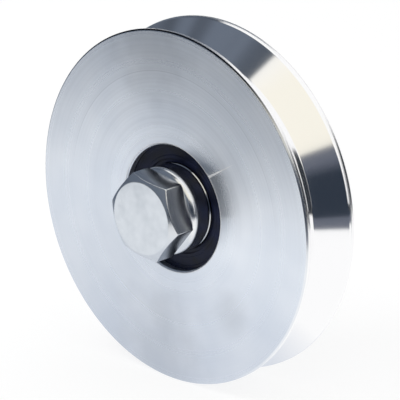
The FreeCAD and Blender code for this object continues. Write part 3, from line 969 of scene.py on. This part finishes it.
def makeSpringWasher(s):
    # rolled from square wire and cut at a slant: each point's row runs round to the slit's two faces
    outline = roundOutline([
        (s["hole"], s["front"], s["edge"]),
        (s["radius"], s["front"], s["edge"]),
        (s["radius"], s["rear"], s["edge"]),
        (s["hole"], s["rear"], s["edge"]),
    ])
    middle = (s["front"] + s["rear"]) / 2
    points, faces = [], []
    count, steps = len(outline), s["steps"]
    for radius, along in outline:
        lean = s["slant"] * (along - middle) / (s["rear"] - s["front"])
        first = math.acos((lean - s["slit"] / 2) / radius)
        last = math.acos((lean + s["slit"] / 2) / radius) + 2 * math.pi
        for step in range(steps + 1):
            angle = first + (last - first) * step / steps
            points.append((radius * math.cos(angle) * mm, along * mm, radius * math.sin(angle) * mm))
    for here in range(count):
        after = (here + 1) % count
        for step in range(steps):
            near, far = here * (steps + 1) + step, after * (steps + 1) + step
            faces.append((near, near + 1, far + 1, far))
    faces.append(tuple(here * (steps + 1) for here in range(count)))
    faces.append(tuple(here * (steps + 1) + steps for here in reversed(range(count))))
    mesh = bpy.data.meshes.new("springWasher")
    mesh.from_pydata(points, [], faces)
    finishMesh(mesh)
    addPiece("springWasher", mesh, "axle", "zinc_steel", ["spring_washer"])


makeSpringWasher(springWasherSizes)
print("washers made")

# the bearing's inside and the circlip keep the frame's own meshes
for nodeName, slotName in (
    ("bearing_outer_ring", "bearing_steel"),
    ("bearing_inner_ring", "bearing_steel"),
    *((f"ball_{count}", "bearing_steel") for count in range(1, 9)),
    ("cage_front_half", "cage_steel"),
    ("cage_rear_half", "cage_steel"),
    ("cage_rivets", "cage_steel"),
    ("circlip", "spring_steel"),
):
    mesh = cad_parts[nodeName].data
    mesh.materials.clear()
    mesh.materials.append(finishes[slotName])
print("bearing's own pieces painted")


# sizes in millimetres; each card and each edge of the floor lies over the ones before it
studio = {
    "floorHeight": -50.0,
    "floorHalf": 1500.0,
    "shadeTowards": (0.15, -1.0),
    "shadeReach": 290.0,
    "shadeStops": [(0.12, "footGrey"), (0.3, "nearGrey"), (0.57, "nearGrey"), (0.7, "farGrey")],
    "whiteFrom": 20.0,
    "whiteTo": 40.0,
    # towards which side, how far out, and the colour beyond
    "floorEdges": [
        ((0.68, -0.73, 0.0), 200, "charcoal"),
        ((0.68, -0.73, 0.0), 320, "deepGrey"),
        ((0.72, 0.69, 0.0), 420, "distanceGrey"),
        ((-0.9, 0.44, 0.0), 130, "slate"),
    ],
    "paperGrey": 0.25,
    "paperGlow": 0.8,
    # colour, how much darker its dark patches are, and its edges: direction, where it starts and is full
    "cards": [
        ("cream", 0.0, [((0.35, -0.9, 0.2), 0.55, 0.75)]),
        ("distanceGrey", 0.0, [((0.79, 0.615, 0.0), 0.73, 0.76), ((0, 0, -1), -0.46, -0.42)]),
        ("slate", 0.5, [((-0.75, 0.0, 0.66), 0.61, 0.625)]),
        ("charcoal", 0.0, [((0.68, -0.73, 0.0), 0.80, 0.82), ((0, 0, -1), -0.38, -0.37)]),
        ("white", 0.0, [((-0.2, 0.2, 0.96), 0.88, 0.92)]),
        # low and straight in front, where the bolt head's turned edge mirrors it
        ("slate", 0.0, [
            ((-0.556, -0.318, -0.768), -0.26, -0.2), ((0, -1, 0), 0.25, 0.35), ((0, 0, 1), -0.05, 0.0),
        ]),
        # the dark doorway beside the camera
        ("deepGrey", 0.0, [((0.68, -0.73, 0.0), 0.88, 0.92), ((0, 0, -1), -0.28, -0.18)]),
    ],
    "patchScale": 3.5,
    "patchSpan": (0.35, 0.65),
    "white": "#ffffff",
    "footGrey": "#dde2ea",
    "nearGrey": "#f4f8fd",
    "farGrey": "#343d49",
    "charcoal": "#636875",
    "deepGrey": "#2f3743",
    "slate": "#68717f",
    "cream": "#fbf7ea",
    "distanceGrey": "#33373d",
    "lampPower": 3.0,
    "lampSize": 500.0,
    "lampPlace": (-350.0, -500.0, 800.0),
}


def makeFloor(s):
    half, height = s["floorHalf"] * mm, s["floorHeight"] * mm
    corners = [(-half, -half, height), (half, -half, height), (half, half, height), (-half, half, height)]
    mesh = bpy.data.meshes.new("studioFloor")
    mesh.from_pydata(corners, [], [(0, 1, 2, 3)])
    item = bpy.data.objects.new("studioFloor", mesh)
    bpy.context.scene.collection.objects.link(item)
    material = bpy.data.materials.new("whiteCard")
    material.use_nodes = True
    tree = material.node_tree
    tree.nodes.clear()
    spot = objectPlace(tree)
    # the card is a little shaded at the wheel's foot, and falls off into shade away from it to the front left
    x, y = s["shadeTowards"]
    reach = s["shadeReach"] * mm
    away = vectorWorked(tree, "DOT_PRODUCT", spot, (x / reach, y / reach, 0))
    fall = ramped(tree, away, [(place, s[colour]) for place, colour in s["shadeStops"]])
    # and it is whitest to the right, under the groove
    right = addNode(tree, "ShaderNodeSeparateXYZ", inputs={0: spot}).outputs["X"]
    white = ranged(tree, right, s["whiteFrom"] * mm, s["whiteTo"] * mm)
    shown = tinted(tree, white, fall, linearColour(s["white"]))
    # it ends at the right and the far left, and a darker room shows beyond its edges
    for towards, edge, colour in s["floorEdges"]:
        past = worked(tree, "GREATER_THAN", vectorWorked(tree, "DOT_PRODUCT", spot, towards), edge * mm)
        shown = tinted(tree, past, shown, linearColour(s[colour]))
    # the metal mirrors those colours, and the camera sees plain white paper with the wheel's shadow on it
    mirrored = addNode(tree, "ShaderNodeEmission", inputs={"Color": shown})
    paper = addNode(tree, "ShaderNodeBsdfDiffuse", inputs={"Color": (*[s["paperGrey"]] * 3, 1)})
    glow = addNode(tree, "ShaderNodeEmission", inputs={"Strength": s["paperGlow"]})
    seen = addNode(tree, "ShaderNodeAddShader", inputs={0: paper.outputs[0], 1: glow.outputs[0]})
    ray = addNode(tree, "ShaderNodeLightPath")
    surface = addNode(tree, "ShaderNodeMixShader", inputs={
        0: ray.outputs["Is Camera Ray"], 1: mirrored.outputs[0], 2: seen.outputs[0]})
    addNode(tree, "ShaderNodeOutputMaterial", inputs={"Surface": surface.outputs[0]})
    mesh.materials.append(material)


def makeSurroundings(s):
    # a white studio, with the dark cards and the room behind the camera that bright metal mirrors
    world = bpy.data.worlds.new("whiteStudio")
    bpy.context.scene.world = world
    world.use_nodes = True
    tree = world.node_tree
    tree.nodes.clear()
    direction = addNode(tree, "ShaderNodeTexCoord").outputs["Generated"]
    soft = addNode(tree, "ShaderNodeTexNoise", inputs={
        "Vector": direction, "Scale": s["patchScale"], "Detail": 1.0}).outputs["Fac"]
    uneven = ranged(tree, soft, *s["patchSpan"], curve="SMOOTHSTEP")
    shown = linearColour(s["white"])
    for colour, dimmed, edges in s["cards"]:
        masks = [ranged(tree, vectorWorked(tree, "DOT_PRODUCT", direction, towards), start, full)
                 for towards, start, full in edges]
        mask = masks[0]
        for other in masks[1:]:
            mask = both(tree, mask, other)
        light = linearColour(s[colour])
        dark = tuple(part * (1 - dimmed) for part in light[:3]) + (1.0,)
        shown = tinted(tree, mask, shown, tinted(tree, uneven, dark, light))
    ray = addNode(tree, "ShaderNodeLightPath").outputs["Is Camera Ray"]
    white = tinted(tree, ray, shown, (1, 1, 1, 1))
    sky = addNode(tree, "ShaderNodeBackground", inputs={"Color": white, "Strength": 1.0})
    addNode(tree, "ShaderNodeOutputWorld", inputs={"Surface": sky.outputs[0]})


def makeLamp(s):
    lamp = bpy.data.lights.new("softKey", "AREA")
    lamp.size = s["lampSize"] * mm
    lamp.energy = s["lampPower"]
    item = bpy.data.objects.new("softKey", lamp)
    item.location = Vector(s["lampPlace"]) * mm
    item.rotation_euler = (Vector((0, 0, 0)) - Vector(item.location)).to_track_quat("-Z", "Y").to_euler()
    item.visible_glossy = False
    bpy.context.scene.collection.objects.link(item)


makeFloor(studio)
makeSurroundings(studio)
makeLamp(studio)

photoCamera = {
    "azimuth": 43.72,
    "elevation": 18.93,
    "lens": 360.0,
    "sensor": 36.0,
    "distance": 1.0998,
    "frameSize": 400,
    "axlePixel": (196.1, 200.0),
    "clip": (0.01, 20),
}


def makeCamera(s):
    turn, lift = math.radians(s["azimuth"]), math.radians(s["elevation"])
    back = Vector((math.sin(turn) * math.cos(lift), -math.cos(turn) * math.cos(lift), math.sin(lift)))
    right = Vector((math.cos(turn), math.sin(turn), 0))
    up = back.cross(right)
    pixel = s["distance"] / (s["lens"] / s["sensor"] * s["frameSize"])
    across = (s["axlePixel"][0] - s["frameSize"] / 2) * pixel
    down = (s["axlePixel"][1] - s["frameSize"] / 2) * pixel
    data = bpy.data.cameras.new("photoCamera")
    data.lens, data.sensor_width = s["lens"], s["sensor"]
    data.clip_start, data.clip_end = s["clip"]
    item = bpy.data.objects.new("photoCamera", data)
    item.matrix_world = Matrix.Translation(back * s["distance"] - right * across + up * down) @ Matrix(
        (right, up, back)).transposed().to_4x4()
    bpy.context.scene.collection.objects.link(item)
    bpy.context.scene.camera = item


makeCamera(photoCamera)
bpy.context.scene.view_settings.view_transform = "Standard"
print("stage, lamp and camera set")
